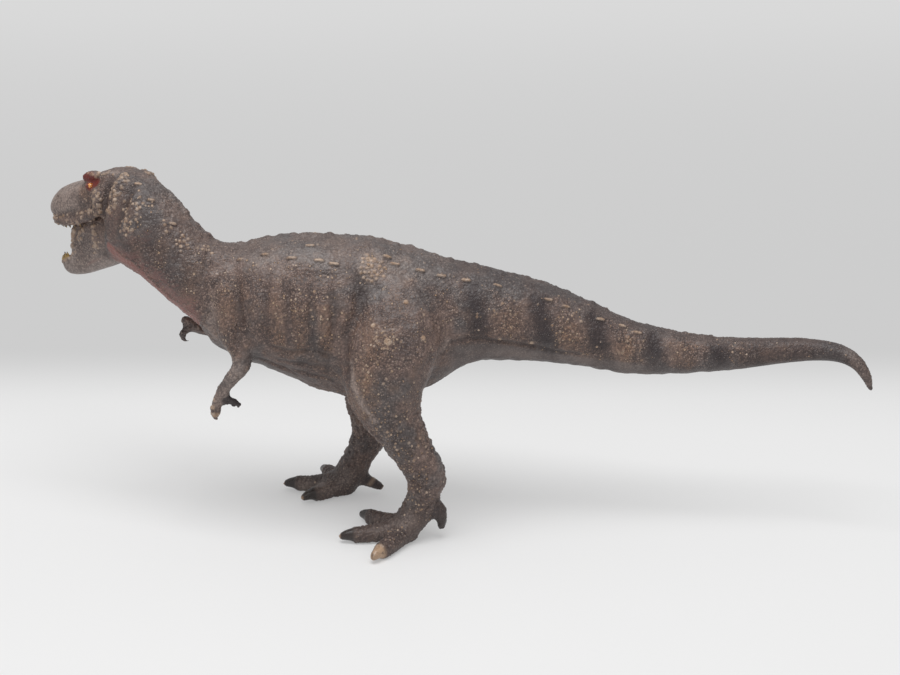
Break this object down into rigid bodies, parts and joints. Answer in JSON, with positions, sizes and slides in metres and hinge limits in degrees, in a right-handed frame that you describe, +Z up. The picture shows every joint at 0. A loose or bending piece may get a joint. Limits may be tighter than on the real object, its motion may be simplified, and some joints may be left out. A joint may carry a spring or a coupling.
{
  "type": "toy dinosaur figure",
  "caption": "Toy figure of a large two-legged hunting dinosaur in a walking stance, tail held level, head turned aside, with a lower jaw that opens and closes.",
  "frame": {"origin": "on the floor, below the middle of the figure's bounding box", "axes": "+Z up, +X from the head towards the tail tip, the figure's left side towards -Y"},
  "size_m": [0.2922, 0.084, 0.1267],
  "materials": {
    "body_skin": "satin, painted in washes with dry-brushed high points",
    "head_skin": "satin, painted, red brow and pink throat",
    "tail_skin": "satin, painted with dark bands",
    "leg_skin": "satin, painted, pale claw tips",
    "arm_skin": "satin, painted, banded fingers",
    "jaw_skin": "satin, painted, yellowed teeth",
    "pin_steel": "plain"
  },
  "bodies": {
    "figure": {"torso": "body_skin", "neck_and_head": "head_skin", "tail": "tail_skin", "left_leg": "leg_skin", "right_leg": "leg_skin", "left_arm": "arm_skin", "right_arm": "arm_skin", "jaw_hinge_pin": "pin_steel"},
    "jaw": {"lower_jaw": "jaw_skin"}
  },
  "joints": [
    {"name": "jaw_hinge", "type": "hinge", "parent": "figure", "child": "jaw", "pos_m": [-0.11253, 0.01132, 0.10894], "axis": [-0.5, -0.866, 0], "range_deg": [-14, 6]}
  ]
}
